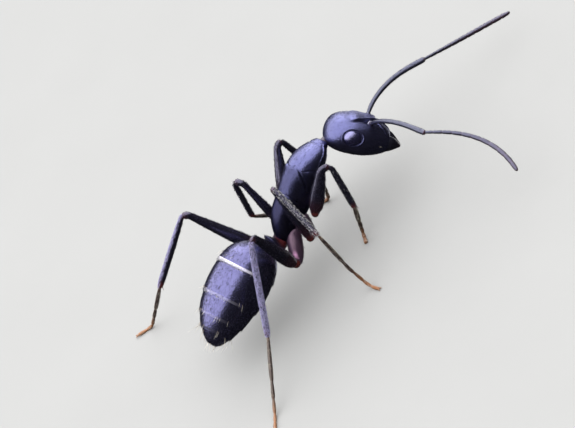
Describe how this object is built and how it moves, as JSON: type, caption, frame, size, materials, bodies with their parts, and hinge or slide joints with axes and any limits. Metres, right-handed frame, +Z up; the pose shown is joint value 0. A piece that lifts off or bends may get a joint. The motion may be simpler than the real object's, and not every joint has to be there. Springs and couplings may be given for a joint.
{
  "type": "carpenter ant",
  "caption": "Life-size still model of a slender black worker ant that stands with its head raised and turned and its feelers spread.",
  "frame": {"origin": "on the floor, under the middle of the ant's box", "axes": "+X forward along the body, +Y to the ant's left, +Z up"},
  "size_m": [0.0226, 0.0164, 0.0061],
  "materials": {
    "cuticle": "satin black, faint violet sheen, fine grain",
    "gaster": "smooth black with a violet sheen, short pale hairs",
    "eye": "glossy black, fine facets",
    "russet_joint": "dark red-brown, satin",
    "leg": "black-brown, satin, short silvery hairs",
    "foot": "amber-brown, satin",
    "feeler": "dark grey-brown, fine down"
  },
  "bodies": {
    "root": {"coxa_fore_left": "russet_joint", "coxa_fore_right": "russet_joint", "coxa_hind_left": "russet_joint", "coxa_hind_right": "russet_joint", "coxa_mid_left": "russet_joint", "coxa_mid_right": "russet_joint", "eye_left": "eye", "eye_right": "eye", "femur_fore_left": "leg", "femur_fore_right": "leg", "femur_hind_left": "leg", "femur_hind_right": "leg", "femur_mid_left": "leg", "femur_mid_right": "leg", "funiculus_left": "feeler", "funiculus_right": "feeler", "gaster_segment_1": "gaster", "gaster_segment_2": "gaster", "gaster_segment_3": "gaster", "gaster_segment_4": "gaster", "gaster_segment_5": "gaster", "head": "cuticle", "mandible_left": "cuticle", "mandible_right": "cuticle", "mesothorax": "cuticle", "neck": "russet_joint", "petiole": "russet_joint", "pronotum": "cuticle", "propodeum": "cuticle", "scape_left": "feeler", "scape_right": "feeler", "tarsus_fore_left": "foot", "tarsus_fore_right": "foot", "tarsus_hind_left": "foot", "tarsus_hind_right": "foot", "tarsus_mid_left": "foot", "tarsus_mid_right": "foot", "tibia_fore_left": "leg", "tibia_fore_right": "leg", "tibia_hind_left": "leg", "tibia_hind_right": "leg", "tibia_mid_left": "leg", "tibia_mid_right": "leg"}
  },
  "joints": []
}
